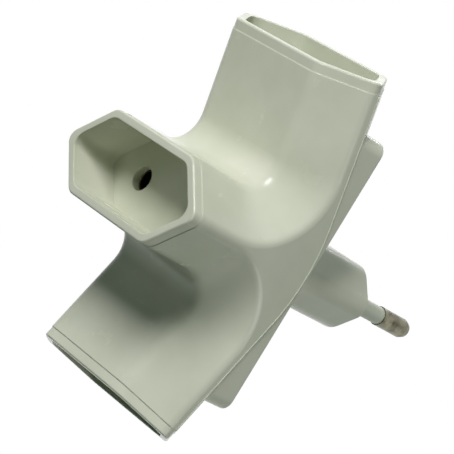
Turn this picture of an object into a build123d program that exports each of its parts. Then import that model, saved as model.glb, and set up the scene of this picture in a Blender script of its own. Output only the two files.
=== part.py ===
from build123d import *
import os
from math import cos, radians, sin, sqrt

# Three way socket adapter with a two pin plug, in millimetres.
# The origin is the middle of the plug's flat end, between the pins.
# +Y runs out along the pins, +X from the left pin to the right pin, +Z up along the upper arm.

os.makedirs("parts", exist_ok=True)

# Plug pins and their insulating sleeves
pin_pitch = 19.0
pin_diameter = 4.0
pin_length = 19.0
pin_nose = 1.7
pin_nose_diameter = 3.2
pin_tip_diameter = 1.6
pin_tip = 0.6
pin_core_diameter = 3.0
sleeve_diameter = 3.6
sleeve_length = 10.0
sleeve_root = 4.0
rivet_diameter = 2.8
rivet_head_diameter = 4.4
rivet_head_height = 0.7

# Hexagonal plug boss
boss_length = 23.0
boss_thickness = 13.7
boss_flat = 20.8
boss_corner_round = 5.0
boss_end_round = 3.0
boss_edge_chamfer = 0.7
boss_draft = 0.5

# Hexagonal socket arms, measured from the fork where their centre lines meet
arm_thickness = 18.4
arm_flat = 26.0
arm_wall = 1.7
arm_lean = 15.0
front_reach = 32.1
arm_reach = 39.0
neck_round = 5.8
bend_radius = 39.0
corner_round = 3.5
ridge_land = 2.0
ridge_round = 2.2

# Stepped rim round each mouth
rim_band = 2.1
rim_step = 0.12
rim_edge_chamfer = 0.25

# Socket recess, its floor and its pin holes
recess_depth = 11.0
recess_corner_round = 3.0
recess_end_round = 2.4
floor_thickness = 3.0
hole_diameter = 5.0
seat_depth = 1.2

# Rear collar, ending a little behind the fork, and the cover that closes it
collar_depth = 0.6
collar_width = 42.2
collar_height = 57.6
collar_corner_round = 2.5
collar_edge_chamfer = 0.5
collar_wall = 1.8
cover_corner_round = 1.2
cover_edge_chamfer = 0.3
cover_thickness = 1.8
cover_ledge = 1.2
fit_clearance = 0.1

# Brass strips, split contact boxes and steel spring clips
strip_thickness = 0.8
strip_width = 5.0
strip_bend = 6.0
strip_sink = 0.6
strip_gap = 0.4
contact_side = 5.4
contact_bore = 4.3
contact_length = 10.0
contact_slot = 0.8
contact_slot_length = 7.0
strip_start = 4.5
spring_start = 1.7
spring_width = 2.5
spring_thickness = 0.4
spring_gap = 1.6
press_clearance = 0.02

# Room for rounding where edges are picked by their place
pick_room = 0.01

# Places worked out from the sizes above
lean = radians(arm_lean)
pin_x = pin_pitch / 2
rear_y = -boss_length
fork_y = rear_y - collar_depth
foot_y = rear_y + strip_sink
seat_inset = recess_depth + floor_thickness - seat_depth
strip_x = pin_x - contact_side / 2
foot_end = pin_x + strip_width / 2
spine_y = rear_y - cover_thickness - strip_gap - strip_width / 2
spine_reach = (fork_y - spine_y) / sin(lean)
front_branch_end = front_reach - seat_inset - strip_start
arm_branch_end = arm_reach - seat_inset - strip_start
sides = {"left": -1, "right": 1}

# Rear plane, facing the plug's pins
rear_plane = Plane((0, rear_y, 0), x_dir=(-1, 0, 0), z_dir=(0, 1, 0))

# Mouth planes, facing out of the sockets
mouths = {
    "front": Plane((0, fork_y - front_reach, 0), x_dir=(1, 0, 0), z_dir=(0, -1, 0)),
    "upper": Plane(
        (0, fork_y - arm_reach * sin(lean), arm_reach * cos(lean)),
        x_dir=(1, 0, 0),
        z_dir=(0, -sin(lean), cos(lean)),
    ),
    "lower": Plane(
        (0, fork_y - arm_reach * sin(lean), -arm_reach * cos(lean)),
        x_dir=(1, 0, 0),
        z_dir=(0, -sin(lean), -cos(lean)),
    ),
}


def on_arm(distance, offset=0):
    """Side view point on the upper arm: distance along its centre line, offset to its rear."""
    return (
        fork_y - distance * sin(lean) + offset * cos(lean),
        distance * cos(lean) + offset * sin(lean),
    )


def below(points):
    """Side view points mirrored to the lower arm, in reverse order."""
    return [(y, -z) for y, z in reversed(points)]


def tee_outline(x, half, front_end, arm_end, neck):
    """Side outline of the three arms in the plane at x, each arm of this half thickness."""
    corner = half * (1 + sin(lean)) / cos(lean)
    upper = [
        (fork_y - front_end, half),
        (fork_y - corner, half),
        on_arm(arm_end, -half),
        on_arm(arm_end, half),
    ]
    rear = (fork_y + half / cos(lean), 0)
    with BuildSketch(Plane.YZ.offset(x)) as outline:
        with BuildLine():
            FilletPolyline(
                upper + [rear] + below(upper),
                radius=[0, neck, 0, 0, bend_radius + half, 0, 0, neck, 0],
                close=True,
            )
        make_face()
    return outline.sketch


def wedge_outline(top):
    """Side outline from two top points, at the rear plane and on the arm, down to their mirror images."""
    with BuildSketch(Plane.YZ) as outline:
        with BuildLine():
            Polyline(top + [(fork_y, 0)] + below(top), close=True)
        make_face()
    return outline.sketch


def hexagon_outline(plane, half, flat, corner, end):
    """Long hexagon with 45 degree ends: half thickness, flat length, corner and end rounding."""
    top = [(-flat / 2, half), (flat / 2, half), (flat / 2 + half, 0)]
    bottom = [(-x, -y) for x, y in top]
    with BuildSketch(plane) as outline:
        with BuildLine():
            FilletPolyline(top + bottom, radius=[corner, corner, end] * 2, close=True)
        make_face()
    return outline.sketch


def edges_at(part, x):
    """Edges of a part that lie in the plane at x."""
    return part.edges().filter_by_position(Axis.X, x - pick_room, x + pick_room)


# Hexagon sizes that follow from the arm's outside and its wall
arm_half = arm_thickness / 2
ridge_half = ridge_land / 2
ridge_x = arm_flat / 2 + arm_half - ridge_half
inner_half = arm_half - arm_wall
inner_flat = arm_flat - 2 * arm_wall * (sqrt(2) - 1)
rim_flat = arm_flat - 2 * rim_step * (sqrt(2) - 1)
cover_width = collar_width - 2 * collar_wall
cover_height = collar_height - 2 * collar_wall

# Collar block: straight sides behind the arms, its front buried on their centre lines
with BuildPart() as collar_block:
    with BuildSketch(rear_plane):
        RectangleRounded(collar_width, collar_height, collar_corner_round)
    extrude(amount=-collar_height / 2)
    chamfer(collar_block.faces().sort_by(Axis.Y)[-1].edges(), collar_edge_chamfer)
    collar_top = [(rear_y, collar_height / 2), on_arm(collar_height / 2 / cos(lean))]
    extrude(wedge_outline(collar_top), amount=collar_width, both=True, mode=Mode.INTERSECT)

# Inner space for the contacts, open at the rear with a ledge for the cover
with BuildPart() as inner_space:
    front_end = front_reach - recess_depth - floor_thickness
    arm_end = arm_reach - recess_depth - floor_thickness
    inner_tee = (front_end, arm_end, 0)
    inner_ridge_x = inner_flat / 2 + inner_half - ridge_half
    extrude(tee_outline(0, inner_half, *inner_tee), amount=inner_flat / 2)
    loft(
        [
            tee_outline(inner_flat / 2, inner_half, *inner_tee),
            tee_outline(inner_ridge_x, ridge_half, *inner_tee),
        ],
        ruled=True,
    )
    mirror(about=Plane.YZ)
    rear_offset = (rear_y - fork_y + arm_end * sin(lean)) / cos(lean)
    opening_top = [on_arm(arm_end, rear_offset), on_arm(arm_end)]
    extrude(wedge_outline(opening_top), amount=cover_width / 2 - cover_ledge, both=True)
    with BuildSketch(rear_plane):
        RectangleRounded(cover_width, cover_height, cover_corner_round)
    extrude(amount=-cover_thickness)

# Front housing: three arms in one moulding
with BuildPart() as front_housing:
    # The slanted ends lean in on every side, so the arms start too long and are trimmed at the mouths
    long_tee = (arm_half, front_reach + arm_half, arm_reach + arm_half, neck_round)
    extrude(tee_outline(0, *long_tee), amount=arm_flat / 2)
    extrude(tee_outline(arm_flat / 2, *long_tee), amount=arm_half - ridge_half, taper=45)
    for mouth in mouths.values():
        with BuildSketch(mouth):
            Rectangle(2 * arm_flat, 2 * arm_thickness)
        extrude(amount=arm_thickness, mode=Mode.SUBTRACT)
    # The lower right quarter is rounded and then mirrored, so that all four match
    split(bisect_by=Plane.XY, keep=Keep.BOTTOM)
    fillet(edges_at(front_housing, arm_flat / 2), corner_round)
    # Rounding the front arm's ridge runs on round the neck to the other arm, the rear edge stays plain
    fillet(edges_at(front_housing, ridge_x).filter_by(Axis.Y).sort_by(Axis.Z)[0], ridge_round)
    mirror(about=Plane.XY)
    mirror(about=Plane.YZ)
    with Locations((0, rear_y, 0)):
        Box(
            2 * arm_flat,
            arm_thickness,
            collar_height,
            align=(Align.CENTER, Align.MIN, Align.CENTER),
            mode=Mode.SUBTRACT,
        )
    add(collar_block.part)
    add(inner_space.part, mode=Mode.SUBTRACT)
    for mouth in mouths.values():
        rim = hexagon_outline(mouth, arm_half - rim_step, rim_flat, corner_round - rim_step, ridge_round)
        recess = hexagon_outline(mouth, inner_half, inner_flat, recess_corner_round, recess_end_round)
        with BuildSketch(mouth) as band:
            Rectangle(2 * arm_flat, 2 * arm_thickness)
        extrude(band.sketch - rim, amount=-rim_band, mode=Mode.SUBTRACT)
        extrude(recess, amount=-recess_depth, mode=Mode.SUBTRACT)
        with Locations(mouth.offset(-recess_depth)):
            with GridLocations(pin_pitch, 1, 2, 1):
                Hole(hole_diameter / 2, depth=floor_thickness)
        with Locations(mouth.offset(-recess_depth - floor_thickness)):
            with GridLocations(pin_pitch, 1, 2, 1):
                Box(
                    contact_side + 2 * fit_clearance,
                    contact_side + 2 * fit_clearance,
                    seat_depth,
                    align=(Align.CENTER, Align.CENTER, Align.MIN),
                    mode=Mode.SUBTRACT,
                )
        rim_face = front_housing.faces().filter_by(mouth).sort_by(Axis(mouth.origin, mouth.z_dir))[-1]
        chamfer(rim_face.outer_wire().edges(), rim_edge_chamfer)
front_housing.part.label = "front_housing"
export_step(front_housing.part, "parts/front_housing.step")

# Rear cover: a plate in the collar's opening, one moulding with the plug boss
with BuildPart() as rear_cover:
    with BuildSketch(rear_plane):
        RectangleRounded(
            cover_width - 2 * fit_clearance,
            cover_height - 2 * fit_clearance,
            cover_corner_round - fit_clearance,
        )
    extrude(amount=-cover_thickness)
    chamfer(rear_cover.faces().sort_by(Axis.Y)[-1].edges(), cover_edge_chamfer)
    boss_end = hexagon_outline(
        rear_plane.offset(boss_length),
        boss_thickness / 2,
        boss_flat,
        boss_corner_round,
        boss_end_round,
    )
    extrude(boss_end, amount=-boss_length, taper=-boss_draft)
    chamfer(rear_cover.faces().sort_by(Axis.Y)[-1].edges(), boss_edge_chamfer)
    with Locations(rear_plane.offset(boss_length)):
        with GridLocations(pin_pitch, 1, 2, 1):
            Hole(pin_diameter / 2 + press_clearance)
    # Pockets that hold the strips' feet at the root of the boss
    for side in sides.values():
        with Locations((side * (strip_x - strip_thickness - fit_clearance), foot_y, 0)):
            Box(
                foot_end - strip_x + strip_thickness + 2 * fit_clearance,
                cover_thickness + strip_sink,
                strip_width + 2 * fit_clearance,
                align=(Align.MIN if side > 0 else Align.MAX, Align.MAX, Align.CENTER),
                mode=Mode.SUBTRACT,
            )
    # Relief round the ends of the contacts in the leaning arms
    for mouth in (mouths["upper"], mouths["lower"]):
        with Locations(mouth.offset(-seat_inset)):
            with GridLocations(pin_pitch, 1, 2, 1):
                Box(
                    contact_side + 2 * strip_gap,
                    contact_side + 2 * strip_gap,
                    contact_length + strip_gap,
                    align=(Align.CENTER, Align.CENTER, Align.MAX),
                    mode=Mode.SUBTRACT,
                )
rear_cover.part.label = "rear_cover"
export_step(rear_cover.part, "parts/rear_cover.step")

# Plug pins, their sleeves and the strips they are riveted to
for name, side in sides.items():
    pin_axis = Axis((side * pin_x, 0, 0), (0, 1, 0))
    pin_side = Plane((side * pin_x, 0, 0), x_dir=(side, 0, 0), z_dir=(0, 0, side))

    with BuildPart() as plug_pin:
        head_y = foot_y - strip_thickness
        with BuildSketch(pin_side):
            with BuildLine():
                Polyline(
                    (0, head_y - rivet_head_height),
                    (rivet_head_diameter / 2, head_y - rivet_head_height),
                    (rivet_head_diameter / 2, head_y),
                    (rivet_diameter / 2, head_y),
                    (rivet_diameter / 2, foot_y),
                    (pin_diameter / 2, foot_y),
                    (pin_diameter / 2, -sleeve_root),
                    (pin_core_diameter / 2, -sleeve_root),
                    (pin_core_diameter / 2, sleeve_length),
                    (pin_diameter / 2, sleeve_length),
                    (pin_diameter / 2, pin_length - pin_nose),
                    (pin_nose_diameter / 2, pin_length - pin_tip),
                    (pin_tip_diameter / 2, pin_length),
                    (0, pin_length),
                    close=True,
                )
            make_face()
        revolve(axis=pin_axis)
    plug_pin.part.label = f"plug_pin_{name}"
    export_step(plug_pin.part, f"parts/{plug_pin.part.label}.step")

    with BuildPart() as pin_sleeve:
        with BuildSketch(pin_side):
            with BuildLine():
                Polyline(
                    (pin_core_diameter / 2 + press_clearance, -sleeve_root),
                    (sleeve_diameter / 2, -sleeve_root),
                    (sleeve_diameter / 2, sleeve_length),
                    (pin_core_diameter / 2 + press_clearance, sleeve_length),
                    close=True,
                )
            make_face()
        revolve(axis=pin_axis)
    pin_sleeve.part.label = f"pin_sleeve_{name}"
    export_step(pin_sleeve.part, f"parts/{pin_sleeve.part.label}.step")

    with BuildPart() as bus_strip:
        with BuildSketch(Plane.YZ.offset(side * strip_x)):
            with BuildLine():
                spine = [on_arm(arm_branch_end), on_arm(spine_reach)]
                FilletPolyline(spine + below(spine), radius=strip_bend)
                Line((fork_y - front_branch_end, 0), (foot_y, 0))
            trace(line_width=strip_width)
        extrude(amount=-side * strip_thickness)
        with Locations((side * strip_x, foot_y, 0)):
            Box(
                foot_end - strip_x,
                strip_thickness,
                strip_width,
                align=(Align.MIN if side > 0 else Align.MAX, Align.MAX, Align.CENTER),
            )
        with Locations(Plane((side * pin_x, foot_y, 0), z_dir=(0, 1, 0))):
            Hole(rivet_diameter / 2 + press_clearance)
    bus_strip.part.label = f"bus_strip_{name}"
    export_step(bus_strip.part, f"parts/{bus_strip.part.label}.step")

# Split contact boxes behind the pin holes, each with its steel spring clip
for socket, mouth in mouths.items():
    for name, side in sides.items():
        seat = Plane(
            mouth.offset(-seat_inset).origin + Vector(side * pin_x, 0, 0),
            x_dir=(side, 0, 0),
            z_dir=mouth.z_dir,
        )
        top_middle = (Align.CENTER, Align.CENTER, Align.MAX)

        with BuildPart(seat) as contact:
            Box(contact_side, contact_side, contact_length, align=top_middle)
            Cylinder(contact_bore / 2, contact_length, align=top_middle, mode=Mode.SUBTRACT)
            Box(contact_slot, contact_side, contact_slot_length, align=top_middle, mode=Mode.SUBTRACT)
        contact.part.label = f"contact_{socket}_{name}"
        export_step(contact.part, f"parts/{contact.part.label}.step")

        with BuildPart(seat) as spring:
            inside = contact_side + 2 * press_clearance
            outside = inside + 2 * spring_thickness
            with Locations((0, 0, -spring_start)):
                Box(outside, outside, spring_width, align=top_middle)
                Box(inside, inside, spring_width, align=top_middle, mode=Mode.SUBTRACT)
                with Locations((-spring_gap, 0, 0)):
                    Box(
                        contact_side,
                        2 * contact_side,
                        spring_width,
                        align=(Align.MAX, Align.CENTER, Align.MAX),
                        mode=Mode.SUBTRACT,
                    )
        spring.part.label = f"spring_{socket}_{name}"
        export_step(spring.part, f"parts/{spring.part.label}.step")
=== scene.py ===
"""Looks of the three way socket adapter: its finishes, a pale studio and the camera, round the CAD frame."""

import logging
from dataclasses import dataclass
from enum import Enum
from math import cos, radians, sin

import bpy
import numpy as np
from mathutils import Matrix, Vector


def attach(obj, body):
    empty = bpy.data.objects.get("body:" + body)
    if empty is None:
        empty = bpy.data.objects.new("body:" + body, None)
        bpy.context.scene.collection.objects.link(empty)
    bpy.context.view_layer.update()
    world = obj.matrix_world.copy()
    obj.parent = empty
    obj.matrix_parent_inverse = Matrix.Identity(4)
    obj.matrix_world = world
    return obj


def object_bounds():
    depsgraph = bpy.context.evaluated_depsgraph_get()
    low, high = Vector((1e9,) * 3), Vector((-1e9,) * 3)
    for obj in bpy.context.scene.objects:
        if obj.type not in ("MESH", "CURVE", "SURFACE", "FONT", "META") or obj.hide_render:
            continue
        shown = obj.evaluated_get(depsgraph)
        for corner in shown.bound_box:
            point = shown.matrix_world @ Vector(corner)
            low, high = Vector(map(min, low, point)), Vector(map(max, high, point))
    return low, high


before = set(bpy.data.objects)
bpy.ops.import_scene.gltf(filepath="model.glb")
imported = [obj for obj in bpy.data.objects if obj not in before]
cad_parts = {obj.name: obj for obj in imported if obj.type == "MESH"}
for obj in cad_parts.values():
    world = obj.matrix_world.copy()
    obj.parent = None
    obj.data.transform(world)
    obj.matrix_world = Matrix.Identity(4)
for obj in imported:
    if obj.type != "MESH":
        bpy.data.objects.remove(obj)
CAD_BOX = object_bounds()

MM = 0.001
SENSOR_MM = 36.0
LOG = logging.getLogger("socket_adapter")


class Pole(Enum):
    """Side of the adapter that a conductor is on."""

    LEFT = "left"
    RIGHT = "right"


class Socket(Enum):
    """Arm of the adapter that a contact is in."""

    FRONT = "front"
    UPPER = "upper"
    LOWER = "lower"


def linear(hex_colour: str) -> tuple[float, float, float, float]:
    """Turns an sRGB hex colour to linear light.

    Args:
        hex_colour: Colour such as "#A9AE9C".

    Returns:
        Red, green, blue and an alpha of 1.
    """
    srgb = np.array([int(hex_colour[i : i + 2], 16) for i in (1, 3, 5)]) / 255
    light = np.where(srgb <= 0.04045, srgb / 12.92, ((srgb + 0.055) / 1.055) ** 2.4)
    return (*map(float, light), 1.0)


def per_metre(size_mm: float) -> float:
    """Texture scale at which one feature is this many millimetres wide."""
    return 1 / (size_mm * MM)


def add_node(
    tree: bpy.types.NodeTree, kind: str, inputs: dict | None = None, **settings: object
) -> bpy.types.Node:
    """Adds a node with its settings and its links.

    Args:
        tree: Node tree that takes the node.
        kind: Blender's name for the node's type.
        inputs: Socket name or number to a value, or to the output socket to link from.
        settings: Attributes of the node itself.

    Returns:
        The new node.
    """
    node = tree.nodes.new(kind)
    for name, value in settings.items():
        setattr(node, name, value)
    for socket, value in (inputs or {}).items():
        if isinstance(value, bpy.types.NodeSocket):
            tree.links.new(value, node.inputs[socket])
        else:
            node.inputs[socket].default_value = value
    return node


def add_noise(
    tree: bpy.types.NodeTree, place: bpy.types.NodeSocket, size_mm: float, detail: float
) -> bpy.types.NodeSocket:
    """Adds a noise texture.

    Args:
        tree: Node tree that takes it.
        place: Socket with the coordinates.
        size_mm: Width of one feature.
        detail: Number of finer layers.

    Returns:
        The socket with the noise, from 0 to 1.
    """
    inputs = {"Vector": place, "Scale": per_metre(size_mm), "Detail": detail}
    return add_node(tree, "ShaderNodeTexNoise", inputs).outputs["Fac"]


def add_range(
    tree: bpy.types.NodeTree,
    value: bpy.types.NodeSocket,
    span: tuple[float, float],
    result: tuple[float, float],
    **settings: object,
) -> bpy.types.NodeSocket:
    """Adds a node that maps one span of values to another and holds the ends.

    Args:
        tree: Node tree that takes it.
        value: Socket with the value.
        span: Low and high end of the value.
        result: What the two ends become.
        settings: Attributes of the node itself.

    Returns:
        The socket with the mapped value.
    """
    inputs = {
        "Value": value,
        "From Min": span[0],
        "From Max": span[1],
        "To Min": result[0],
        "To Max": result[1],
    }
    return add_node(tree, "ShaderNodeMapRange", inputs, **settings).outputs["Result"]


def add_math(
    tree: bpy.types.NodeTree,
    operation: str,
    first: bpy.types.NodeSocket,
    second: bpy.types.NodeSocket | float,
) -> bpy.types.NodeSocket:
    """Adds a sum on two values.

    Args:
        tree: Node tree that takes it.
        operation: Blender's name for the sum.
        first: Socket with the first value.
        second: Socket with the second value, or the value itself.

    Returns:
        The socket with the outcome.
    """
    return add_node(tree, "ShaderNodeMath", {0: first, 1: second}, operation=operation).outputs["Value"]


def add_tint(
    tree: bpy.types.NodeTree, share: bpy.types.NodeSocket, colour: bpy.types.NodeSocket, hex_colour: str
) -> bpy.types.NodeSocket:
    """Adds a mix of a colour with a fixed one.

    Args:
        tree: Node tree that takes it.
        share: Socket with the share of the fixed colour.
        colour: Socket with the colour that it tints.
        hex_colour: The fixed colour.

    Returns:
        The socket with the mixed colour.
    """
    inputs = {"Factor": share, 6: colour, 7: linear(hex_colour)}
    return add_node(tree, "ShaderNodeMix", inputs, data_type="RGBA").outputs[2]


def add_ramp(
    tree: bpy.types.NodeTree, value: bpy.types.NodeSocket, stops: list[tuple[float, str]]
) -> bpy.types.NodeSocket:
    """Adds a colour ramp.

    Args:
        tree: Node tree that takes it.
        value: Socket with the place on the ramp.
        stops: Place from 0 to 1 and hex colour of each of its two stops, in order.

    Returns:
        The socket with the colour.
    """
    ramp = add_node(tree, "ShaderNodeValToRGB", {"Fac": value})
    for element, (place, hex_colour) in zip(ramp.color_ramp.elements, stops):
        element.position = place
        element.color = linear(hex_colour)
    return ramp.outputs["Color"]


def new_material(name: str) -> tuple[bpy.types.Material, bpy.types.NodeTree]:
    """Makes an empty node material.

    Args:
        name: Name of the finish.

    Returns:
        The material and its node tree, with no nodes.
    """
    material = bpy.data.materials.new(name)
    material.use_nodes = True
    material.node_tree.nodes.clear()
    return material, material.node_tree


def ring_quads(rings: int, spokes: int) -> np.ndarray:
    """Works out the quads between neighbouring rings of points, each ring closed on itself.

    Args:
        rings: Number of rings.
        spokes: Number of points on a ring.

    Returns:
        Four point numbers for each quad, in turning order.
    """
    ring, spoke = np.meshgrid(np.arange(rings - 1), np.arange(spokes), indexing="ij")
    after = (spoke + 1) % spokes
    low, high = ring * spokes, (ring + 1) * spokes
    return np.stack((low + spoke, low + after, high + after, high + spoke), axis=-1).reshape(-1, 4)


def add_mesh(
    name: str, points: np.ndarray, faces: list[list[int]], material: bpy.types.Material
) -> bpy.types.Object:
    """Makes an object at the origin and puts it in the scene.

    Args:
        name: Name of the object and its mesh.
        points: Points in metres, one to a row.
        faces: Point numbers of each face, in turning order seen from outside.
        material: Its finish.

    Returns:
        The object.
    """
    mesh = bpy.data.meshes.new(name)
    mesh.from_pydata(points.tolist(), [], faces)
    mesh.materials.append(material)
    piece = bpy.data.objects.new(name, mesh)
    bpy.context.scene.collection.objects.link(piece)
    return piece


@dataclass(frozen=True)
class MouldedResin:
    """Pale resin, pressed in a polished steel mould.

    The eye sees a satin skin with small crisp highlights, a faint cloudiness where the powder flowed into
    the arms, a few dark specks of scorched powder, and light handling scuffs.
    """

    name: str
    pale_hex: str
    deep_hex: str
    speck_hex: str = "#A29C80"
    cloud_mm: float = 14.0
    flow_mm: float = 3.2
    flow_stretch: tuple[float, float, float] = (1.0, 0.7, 0.25)
    flow_tint: float = 0.14
    speck_mm: float = 1.6
    speck_core: tuple[float, float] = (0.05, 0.11)
    speck_rarity: float = 0.86
    speck_tint: float = 0.3
    scuff_mm: float = 5.0
    smooth: float = 0.16
    scuffed: float = 0.3
    peel_mm: float = 1.1
    peel_depth_mm: float = 0.02
    peel_strength: float = 0.12
    edge_mm: float = 0.35
    edge_samples: int = 6
    sheen: float = 0.3

    def flowed(self, tree: bpy.types.NodeTree, place: bpy.types.NodeSocket) -> bpy.types.NodeSocket:
        """Adds the cloudy body colour with its flow marks.

        Args:
            tree: Node tree that takes the nodes.
            place: Socket with the coordinates.

        Returns:
            The socket with the colour.
        """
        cloud = add_noise(tree, place, self.cloud_mm, detail=3.0)
        tone = add_ramp(tree, cloud, [(0.34, self.deep_hex), (0.66, self.pale_hex)])
        # Flow marks are drawn out along the arms, four times as long as they are wide
        along = add_node(tree, "ShaderNodeMapping", {"Vector": place, "Scale": self.flow_stretch})
        flow = add_noise(tree, along.outputs["Vector"], self.flow_mm, detail=2.0)
        streak = add_range(tree, flow, (0.5, 0.8), (0.0, self.flow_tint))
        return add_tint(tree, streak, tone, self.deep_hex)

    def specked(
        self, tree: bpy.types.NodeTree, place: bpy.types.NodeSocket, colour: bpy.types.NodeSocket
    ) -> bpy.types.NodeSocket:
        """Adds specks to a colour: only the core of a few cells is tinted, so they are small and rare.

        Args:
            tree: Node tree that takes the nodes.
            place: Socket with the coordinates.
            colour: Socket with the body colour.

        Returns:
            The socket with the specked colour.
        """
        cells = add_node(tree, "ShaderNodeTexVoronoi", {"Vector": place, "Scale": per_metre(self.speck_mm)})
        core = add_range(tree, cells.outputs["Distance"], self.speck_core, (self.speck_tint, 0.0))
        pick = add_math(tree, "GREATER_THAN", cells.outputs["Color"], self.speck_rarity)
        return add_tint(tree, add_math(tree, "MULTIPLY", core, pick), colour, self.speck_hex)

    def skin(self, tree: bpy.types.NodeTree, place: bpy.types.NodeSocket) -> bpy.types.NodeSocket:
        """Adds the faint unevenness of the mould, and its worn edges that catch a thin line of light.

        Args:
            tree: Node tree that takes the nodes.
            place: Socket with the coordinates.

        Returns:
            The socket with the normal.
        """
        worn = add_node(tree, "ShaderNodeBevel", {"Radius": self.edge_mm * MM}, samples=self.edge_samples)
        inputs = {
            "Height": add_noise(tree, place, self.peel_mm, detail=1.0),
            "Strength": self.peel_strength,
            "Distance": self.peel_depth_mm * MM,
            "Normal": worn.outputs["Normal"],
        }
        return add_node(tree, "ShaderNodeBump", inputs).outputs["Normal"]

    def build(self) -> bpy.types.Material:
        """Makes the finish.

        Returns:
            The material.
        """
        material, tree = new_material(self.name)
        place = add_node(tree, "ShaderNodeTexCoord").outputs["Object"]
        scuff = add_noise(tree, place, self.scuff_mm, detail=4.0)
        inputs = {
            "Base Color": self.specked(tree, place, self.flowed(tree, place)),
            "Roughness": add_range(tree, scuff, (0.35, 0.75), (self.smooth, self.scuffed)),
            "Normal": self.skin(tree, place),
            "Specular IOR Level": self.sheen,
        }
        shader = add_node(tree, "ShaderNodeBsdfPrincipled", inputs)
        add_node(tree, "ShaderNodeOutputMaterial", {"Surface": shader.outputs["BSDF"]})
        return material


@dataclass(frozen=True)
class DrawnMetal:
    """Drawn or rolled metal with a thin plating or its own bare colour.

    The eye sees fine lines along the drawing direction, patches of tarnish, and a blurred reflection.
    """

    name: str
    bright_hex: str
    tarnish_hex: str
    tarnish_mm: float = 2.4
    line_mm: float = 0.25
    line_stretch: tuple[float, float, float] = (1.0, 0.05, 1.0)
    groove_depth_mm: float = 0.02
    groove_strength: float = 0.15
    polished: float = 0.22
    worn: float = 0.42

    def build(self) -> bpy.types.Material:
        """Makes the finish.

        Returns:
            The material.
        """
        material, tree = new_material(self.name)
        place = add_node(tree, "ShaderNodeTexCoord").outputs["Object"]
        patches = add_noise(tree, place, self.tarnish_mm, detail=4.0)
        # Lines run along the pin, so the pattern is stretched twenty times in Y
        drawn = add_node(tree, "ShaderNodeMapping", {"Vector": place, "Scale": self.line_stretch})
        lines = add_noise(tree, drawn.outputs["Vector"], self.line_mm, detail=2.0)
        grooves = add_node(
            tree,
            "ShaderNodeBump",
            {"Height": lines, "Strength": self.groove_strength, "Distance": self.groove_depth_mm * MM},
        )
        inputs = {
            "Base Color": add_ramp(tree, patches, [(0.38, self.bright_hex), (0.72, self.tarnish_hex)]),
            "Metallic": 1.0,
            "Roughness": add_range(tree, lines, (0.3, 0.7), (self.polished, self.worn)),
            "Normal": grooves.outputs["Normal"],
        }
        shader = add_node(tree, "ShaderNodeBsdfPrincipled", inputs)
        add_node(tree, "ShaderNodeOutputMaterial", {"Surface": shader.outputs["BSDF"]})
        return material


def dress(node: str, material: bpy.types.Material) -> None:
    """Gives a CAD node its finish.

    Args:
        node: Name of the node.
        material: The finish.
    """
    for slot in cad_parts[node].material_slots:
        slot.material = material
    LOG.info("%s wears %s", node, material.name)


@dataclass
class RidgeLine:
    """The thin raised line along the ridge of the two leaning arms on one side, where the mould parted.

    Sizes are in millimetres. The line runs straight down the upper arm, bends round the fork in an arc, and
    runs straight down the lower arm.
    """

    pole: Pole
    thickness: float = 0.42
    sunk: float = 0.12
    lean_deg: float = 15.0
    bend: float = 40.0
    apex_y: float = -23.98
    straight: float = 26.2
    stations: int = 160
    round_points: int = 14

    def path(self) -> tuple[np.ndarray, np.ndarray]:
        """Works out the line's centre in side view.

        With s the length from the fork, the turn is s over the bend's radius, held at the arms' lean,
        and what is left of s beyond the arc goes straight on along the arm.

        Returns:
            Y and Z of each station, and the outward direction there, both as rows of two.
        """
        lean = radians(self.lean_deg)
        reach = self.bend * lean + self.straight
        s = np.linspace(-reach, reach, self.stations)
        turn = np.clip(s / self.bend, -lean, lean)
        beyond = s - self.bend * turn
        y = self.apex_y + self.bend * (np.cos(turn) - 1) - np.abs(beyond) * sin(lean)
        z = self.bend * np.sin(turn) + beyond * cos(lean)
        return np.stack((y, z), axis=-1), np.stack((np.cos(turn), np.sin(turn)), axis=-1)

    def surface(self) -> tuple[np.ndarray, list[list[int]]]:
        """Works out the line's surface: a circle carried along the path, more than half sunk in the side.

        Returns:
            Points in metres, and the point numbers of each quad and of the two end caps.
        """
        sign = 1 if self.pole is Pole.RIGHT else -1
        centre, outward = self.path()
        angle = np.linspace(0.0, 2 * np.pi, self.round_points, endpoint=False)
        radius = self.thickness / 2
        x = CAD_BOX[1][0] / MM - self.sunk + radius * np.cos(angle)
        across = radius * np.sin(angle)
        yz = centre[:, None, :] + across[None, :, None] * outward[:, None, :]
        xs = np.broadcast_to(sign * x, yz.shape[:2])
        points = np.concatenate((xs[..., None], yz), axis=-1).reshape(-1, 3) * MM
        quads = ring_quads(self.stations, self.round_points)[:, ::sign]
        first = np.arange(self.round_points)
        last = first + (self.stations - 1) * self.round_points
        return points, quads.tolist() + [first[::-sign].tolist(), last[::sign].tolist()]

    def build(self, material: bpy.types.Material) -> bpy.types.Object:
        """Makes the line.

        Args:
            material: The housing's finish.

        Returns:
            The line's object, which goes with the housing.
        """
        line = add_mesh(f"ridge_line_{self.pole.value}", *self.surface(), material)
        line.data.shade_smooth()
        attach(line, "root")
        LOG.info("%s built", line.name)
        return line


@dataclass
class Mouldings:
    """The front housing and the rear cover, both pressed from the same resin."""

    finish: MouldedResin
    nodes: tuple[str, ...] = ("front_housing", "rear_cover")

    def dress(self) -> None:
        """Puts the resin on both mouldings and draws the ridge lines."""
        material = self.finish.build()
        for node in self.nodes:
            dress(node, material)
        for pole in Pole:
            RidgeLine(pole).build(material)


@dataclass
class PlugPins:
    """The two plug pins and the sleeves on their roots."""

    plating: DrawnMetal
    sleeve: MouldedResin

    def dress(self) -> None:
        """Puts plating on the pins and resin on the sleeves."""
        metal = self.plating.build()
        resin = self.sleeve.build()
        for pole in Pole:
            dress(f"plug_pin_{pole.value}", metal)
            dress(f"pin_sleeve_{pole.value}", resin)


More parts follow.
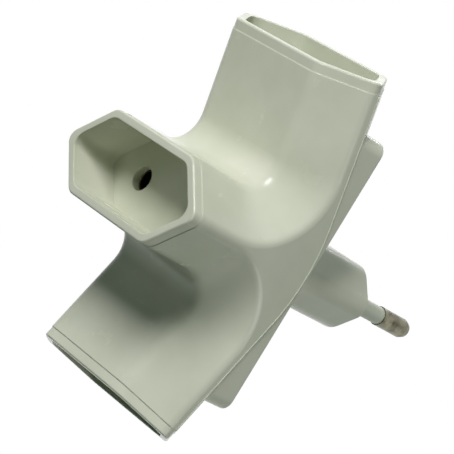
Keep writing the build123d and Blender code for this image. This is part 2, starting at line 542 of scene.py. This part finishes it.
@dataclass
class Conductors:
    """The strips, split contacts and springs inside the housing, seen only down the pin holes."""

    brass: DrawnMetal
    steel: DrawnMetal

    def dress(self) -> None:
        """Puts brass on the strips and contacts and steel on the springs."""
        brass = self.brass.build()
        steel = self.steel.build()
        for pole in Pole:
            dress(f"bus_strip_{pole.value}", brass)
            for socket in Socket:
                dress(f"contact_{socket.value}_{pole.value}", brass)
                dress(f"spring_{socket.value}_{pole.value}", steel)


@dataclass
class Lamp:
    """A soft square white lamp that points at the adapter, with sizes in metres."""

    name: str
    direction: tuple[float, float, float]
    side: float
    watts: float
    distance: float = 0.7

    def build(self, target: Vector) -> bpy.types.Object:
        """Makes the lamp.

        Args:
            target: Point that the lamp faces.

        Returns:
            The lamp's object.
        """
        data = bpy.data.lights.new(self.name, "AREA")
        data.shape = "SQUARE"
        data.size = self.side
        data.energy = self.watts
        lamp = bpy.data.objects.new(self.name, data)
        away = Vector(self.direction).normalized()
        lamp.location = target + self.distance * away
        lamp.rotation_euler = away.to_track_quat("Z", "Y").to_euler()
        bpy.context.scene.collection.objects.link(lamp)
        LOG.info("lamp %s", self.name)
        return lamp


@dataclass
class Studio:
    """Pale floor, white surroundings and soft lamps, with sizes in metres.

    The floor lies well below the adapter, which its plug would hold in the air. To the camera and in
    reflections it is white, and what it throws back on the adapter is a dim grey green.
    """

    target: Vector
    lamps: list[Lamp]
    floor_drop: float = 0.3
    floor_radius: float = 3.0
    hub_share: float = 0.02
    rings: int = 48
    spokes: int = 96
    floor_lift: float = 0.8
    shadow_reach: float = 0.16
    paint_hex: str = "#6E7A70"
    ambient: float = 0.05
    ambient_hex: str = "#74DC98"

    @property
    def floor_centre(self) -> tuple[float, float, float]:
        """Point of the floor below the adapter."""
        return (self.target.x, self.target.y, CAD_BOX[0][2] - self.floor_drop)

    def floor_points(self) -> np.ndarray:
        """Works out the floor: radius grows with the square of the ring number, angle evenly round.

        Returns:
            Points of the grid, ring by ring.
        """
        ring = np.linspace(self.hub_share, 1.0, self.rings) ** 2 * self.floor_radius
        angle = np.linspace(0.0, 2 * np.pi, self.spokes, endpoint=False)
        r, a = np.meshgrid(ring, angle, indexing="ij")
        flat = np.stack((r * np.cos(a), r * np.sin(a), np.zeros_like(r)), axis=-1)
        return flat.reshape(-1, 3) + np.array(self.floor_centre)

    def build_floor(self) -> bpy.types.Object:
        """Makes the floor, a disc of rings round a hub, with its faces up.

        Returns:
            The floor's object.
        """
        quads = ring_quads(self.rings, self.spokes)[:, ::-1]
        hub = list(range(self.spokes))
        floor = add_mesh("studio_floor", self.floor_points(), quads.tolist() + [hub], self.floor_finish())
        return floor

    def floor_finish(self) -> bpy.types.Material:
        """Makes a matt floor that shows white to the camera and keeps the adapter's shadow.

        Returns:
            The material.
        """
        material, tree = new_material("matt_white_floor")
        place = add_node(tree, "ShaderNodeTexCoord").outputs["Object"]
        away = add_node(tree, "ShaderNodeVectorMath", {0: place, 1: self.floor_centre}, operation="DISTANCE")
        lift = add_range(
            tree,
            away.outputs["Value"],
            (0.0, self.shadow_reach),
            (self.floor_lift, 1.0),
            interpolation_type="SMOOTHSTEP",
        )
        strength = add_math(tree, "MULTIPLY", lift, self.seen_by(tree))
        paint = add_node(tree, "ShaderNodeBsdfDiffuse", {"Color": linear(self.paint_hex)})
        glow = add_node(tree, "ShaderNodeEmission", {"Strength": strength})
        both = add_node(tree, "ShaderNodeAddShader", {0: paint.outputs["BSDF"], 1: glow.outputs["Emission"]})
        add_node(tree, "ShaderNodeOutputMaterial", {"Surface": both.outputs["Shader"]})
        return material

    @staticmethod
    def seen_by(tree: bpy.types.NodeTree) -> bpy.types.NodeSocket:
        """Adds nodes that are 1 for camera, glossy and transmission rays.

        Args:
            tree: Node tree that takes them.

        Returns:
            The socket that holds 1 or 0.
        """
        path = add_node(tree, "ShaderNodeLightPath").outputs
        shiny = add_math(tree, "MAXIMUM", path["Is Glossy Ray"], path["Is Transmission Ray"])
        return add_math(tree, "MAXIMUM", path["Is Camera Ray"], shiny)

    def build_world(self) -> None:
        """Makes surroundings that are white to the eye and a dim green to the adapter's matt surfaces."""
        world = bpy.data.worlds.new("pale_studio")
        world.use_nodes = True
        tree = world.node_tree
        tree.nodes.clear()
        soft = add_node(
            tree, "ShaderNodeBackground", {"Color": linear(self.ambient_hex), "Strength": self.ambient}
        )
        white = add_node(tree, "ShaderNodeBackground", {"Color": linear("#FFFFFF"), "Strength": 1.0})
        pick = add_node(
            tree,
            "ShaderNodeMixShader",
            {0: self.seen_by(tree), 1: soft.outputs["Background"], 2: white.outputs["Background"]},
        )
        add_node(tree, "ShaderNodeOutputWorld", {"Surface": pick.outputs["Shader"]})
        bpy.context.scene.world = world

    def build(self) -> None:
        """Makes the floor, the surroundings and the lamps."""
        self.build_floor()
        self.build_world()
        for lamp in self.lamps:
            lamp.build(self.target)


@dataclass(frozen=True)
class PhotoCamera:
    """Camera at the photograph's viewing angle, fitted to the corners of the rims, collar and boss."""

    azimuth_deg: float = 47.87
    elevation_deg: float = 2.5
    roll_deg: float = 31.3
    distance: float = 0.4254
    focal_px: float = 2232.0
    frame_px: float = 454.0
    target: tuple[float, float, float] = (0.0, -0.02836, 0.00028)

    def axes(self) -> tuple[Vector, Vector, Vector]:
        """Works out the camera's right, up and backward directions.

        Returns:
            Three unit vectors.
        """
        azimuth, elevation, roll = map(radians, (self.azimuth_deg, self.elevation_deg, self.roll_deg))
        back = Vector((sin(azimuth) * cos(elevation), -cos(azimuth) * cos(elevation), sin(elevation)))
        level = Vector((cos(azimuth), sin(azimuth), 0.0))
        above = back.cross(level)
        right = level * cos(roll) + above * sin(roll)
        up = above * cos(roll) - level * sin(roll)
        return right, up, back

    def build(self) -> bpy.types.Object:
        """Makes the camera and gives it to the scene.

        Returns:
            The camera's object.
        """
        data = bpy.data.cameras.new("photo_camera")
        data.sensor_width = SENSOR_MM
        data.lens = SENSOR_MM * self.focal_px / self.frame_px
        camera = bpy.data.objects.new("photo_camera", data)
        right, up, back = self.axes()
        turn = Matrix((right, up, back)).transposed().to_4x4()
        camera.matrix_world = Matrix.Translation(Vector(self.target) + self.distance * back) @ turn
        bpy.context.scene.collection.objects.link(camera)
        bpy.context.scene.camera = camera
        return camera


def main() -> None:
    """Builds the adapter's looks, the studio and the camera in order."""
    logging.basicConfig(level=logging.INFO, format="%(name)s: %(message)s")
    bpy.context.scene.view_settings.view_transform = "Standard"
    ivory = MouldedResin("moulded_urea_ivory", pale_hex="#DADCCB", deep_hex="#D0D3C0")
    sleeve = MouldedResin(
        "moulded_nylon_sleeve", pale_hex="#D8DBCC", deep_hex="#CED2C2", smooth=0.34, scuffed=0.46
    )
    # Both nickel colours are darker than bare nickel: painted shade in the pins' reflections, standing in
    # for darker surroundings, under the random tarnish patches
    nickel = DrawnMetal("nickel_plated_brass", bright_hex="#858270", tarnish_hex="#3C392C")
    # Both brass colours are far darker than bare brass: painted shade for the dim insides of the pin holes,
    # under the random tarnish patches
    brass = DrawnMetal("stamped_brass", bright_hex="#6B6040", tarnish_hex="#3C3722")
    steel = DrawnMetal("rolled_spring_steel", bright_hex="#B6B8BA", tarnish_hex="#8D8F90")
    Mouldings(ivory).dress()
    PlugPins(nickel, sleeve).dress()
    Conductors(brass, steel).dress()
    camera = PhotoCamera()
    lamps = [
        Lamp("key_softbox", (0.2, -0.68, 0.7), side=0.28, watts=4.45),
        Lamp("low_fill", (0.9, 0.25, -0.34), side=0.36, watts=1.6),
        Lamp("back_fill", (-0.5, 0.5, 0.71), side=0.3, watts=1.7),
    ]
    Studio(Vector(camera.target), lamps).build()
    camera.build()


if __name__ == "__main__":
    main()
